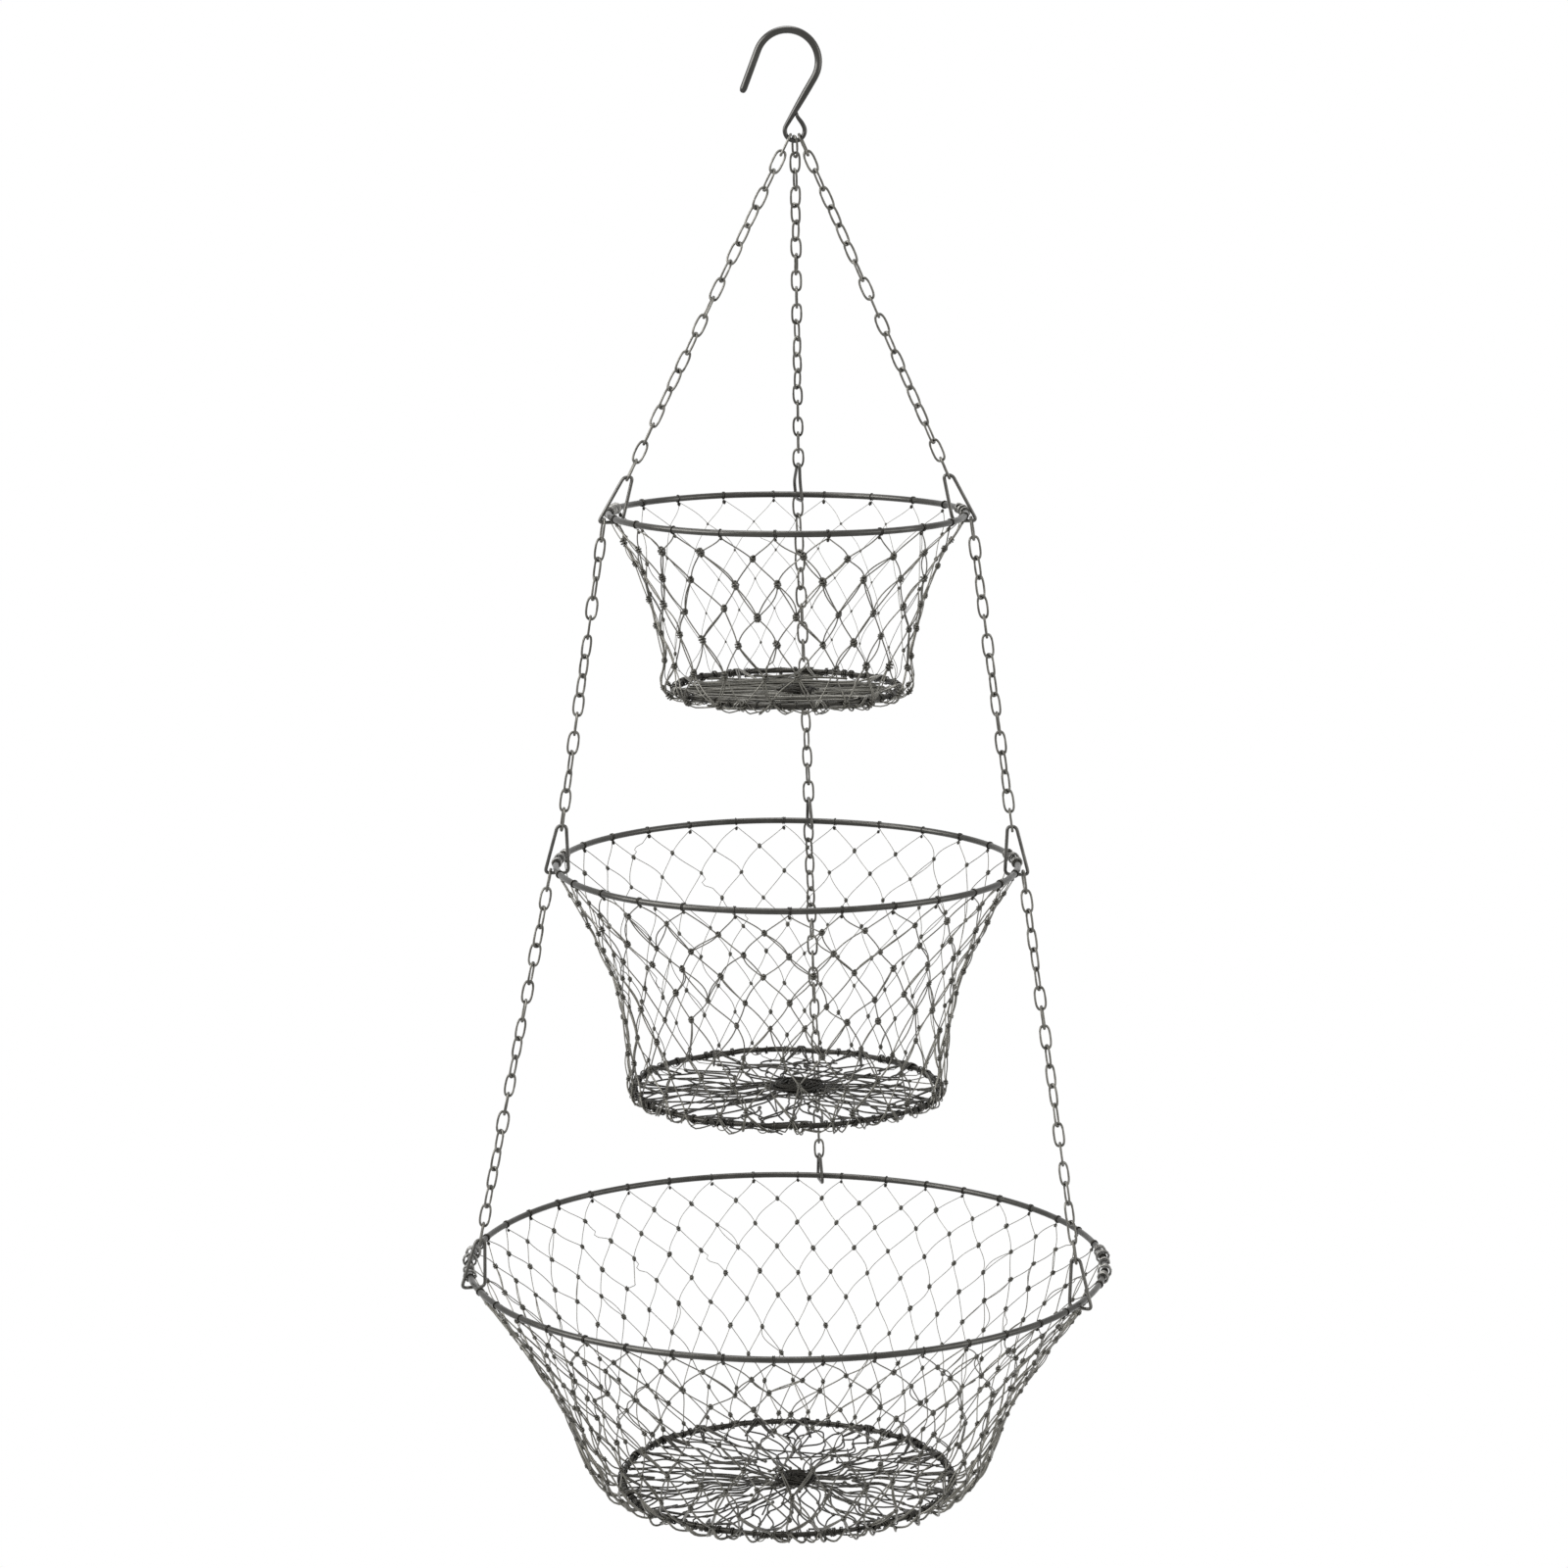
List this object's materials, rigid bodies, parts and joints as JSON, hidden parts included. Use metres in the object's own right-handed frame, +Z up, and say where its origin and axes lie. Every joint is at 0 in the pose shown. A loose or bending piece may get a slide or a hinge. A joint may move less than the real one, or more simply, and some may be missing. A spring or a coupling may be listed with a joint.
{
  "type": "hanging fruit basket",
  "caption": "Three round wire-net baskets hung one below another on chains from a hook, each wider than the one above.",
  "frame": {"origin": "underside of the hook's top bend, where a peg carries it", "axes": "+Z up, +X right and -Y towards the viewer, with the single back chains behind"},
  "size_m": [0.3076, 0.3105, 0.6889],
  "materials": {
    "hook_steel": "worn dark steel with light edges",
    "chain_steel": "dark blackened steel wire",
    "hanger_steel": "dark blackened steel wire",
    "rim_steel": "weathered grey steel",
    "net_steel": "dark blackened steel wire"
  },
  "bodies": {
    "hook": {"hook": "hook_steel"},
    "eye_links": {"eye_links": "chain_steel"},
    "top_basket": {"top_rim": "rim_steel", "top_base_ring": "rim_steel", "top_wall_net": "net_steel", "top_floor_net": "net_steel", "top_floor_knot": "net_steel", "top_back_hanger": "hanger_steel", "top_left_hanger": "hanger_steel", "top_right_hanger": "hanger_steel", "top_back_chain": "chain_steel", "top_left_chain": "chain_steel", "top_right_chain": "chain_steel"},
    "middle_back_chain": {"middle_back_chain": "chain_steel"},
    "middle_left_chain": {"middle_left_chain": "chain_steel"},
    "middle_right_chain": {"middle_right_chain": "chain_steel"},
    "middle_basket": {"middle_rim": "rim_steel", "middle_base_ring": "rim_steel", "middle_wall_net": "net_steel", "middle_floor_net": "net_steel", "middle_floor_knot": "net_steel", "middle_back_hanger": "hanger_steel", "middle_left_hanger": "hanger_steel", "middle_right_hanger": "hanger_steel"},
    "bottom_back_chain": {"bottom_back_chain": "chain_steel"},
    "bottom_left_chain": {"bottom_left_chain": "chain_steel"},
    "bottom_right_chain": {"bottom_right_chain": "chain_steel"},
    "bottom_basket": {"bottom_rim": "rim_steel", "bottom_base_ring": "rim_steel", "bottom_wall_net": "net_steel", "bottom_floor_net": "net_steel", "bottom_floor_knot": "net_steel", "bottom_back_hanger": "hanger_steel", "bottom_left_hanger": "hanger_steel", "bottom_right_hanger": "hanger_steel"}
  },
  "joints": [
    {"name": "hook_sway", "type": "hinge", "parent": "hook", "child": "eye_links", "pos_m": [0.00353, 0, -0.04336], "axis": [0, 1, 0], "range_deg": [-25, 25]},
    {"name": "eye_swing", "type": "hinge", "parent": "eye_links", "child": "top_basket", "pos_m": [0.00353, 0.00152, -0.05455], "axis": [1, 0, 0], "range_deg": [-12, 12]},
    {"name": "middle_swing", "type": "hinge", "parent": "top_basket", "child": "middle_back_chain", "pos_m": [0.00522, 0.08538, -0.22013], "axis": [1, 0, 0], "range_deg": [-10, 10]},
    {"name": "middle_left_swing", "type": "hinge", "parent": "top_basket", "child": "middle_left_chain", "pos_m": [-0.08389, -0.01307, -0.22015], "axis": [1, 0, 0], "range_deg": [-11, 11]},
    {"name": "middle_right_swing", "type": "hinge", "parent": "top_basket", "child": "middle_right_chain", "pos_m": [0.08469, -0.00593, -0.22015], "axis": [1, 0, 0], "range_deg": [-11, 11]},
    {"name": "middle_level", "type": "hinge", "parent": "middle_back_chain", "child": "middle_basket", "pos_m": [0.01081, 0.10551, -0.37001], "axis": [0.9985, -0.0547, 0], "range_deg": [-10, 10]},
    {"name": "bottom_swing", "type": "hinge", "parent": "middle_basket", "child": "bottom_back_chain", "pos_m": [0.0107, 0.11057, -0.38464], "axis": [1, 0, 0], "range_deg": [-8, 8]},
    {"name": "bottom_left_swing", "type": "hinge", "parent": "middle_basket", "child": "bottom_left_chain", "pos_m": [-0.11023, -0.00764, -0.38465], "axis": [1, 0, 0], "range_deg": [-9, 9]},
    {"name": "bottom_right_swing", "type": "hinge", "parent": "middle_basket", "child": "bottom_right_chain", "pos_m": [0.10989, -0.0116, -0.38465], "axis": [1, 0, 0], "range_deg": [-9, 9]},
    {"name": "bottom_level", "type": "hinge", "parent": "bottom_back_chain", "child": "bottom_basket", "pos_m": [0.01668, 0.1474, -0.56246], "axis": [0.9963, -0.0857, 0], "range_deg": [-8, 8]}
  ],
  "couplings": [
    {"joint": "middle_left_swing", "follows": "middle_swing", "ratio": 1.0457},
    {"joint": "middle_right_swing", "follows": "middle_swing", "ratio": 1.0458},
    {"joint": "middle_level", "follows": "middle_swing", "ratio": -0.82282},
    {"joint": "bottom_left_swing", "follows": "bottom_swing", "ratio": 1.0275},
    {"joint": "bottom_right_swing", "follows": "bottom_swing", "ratio": 1.0257},
    {"joint": "bottom_level", "follows": "bottom_swing", "ratio": -0.61289}
  ]
}
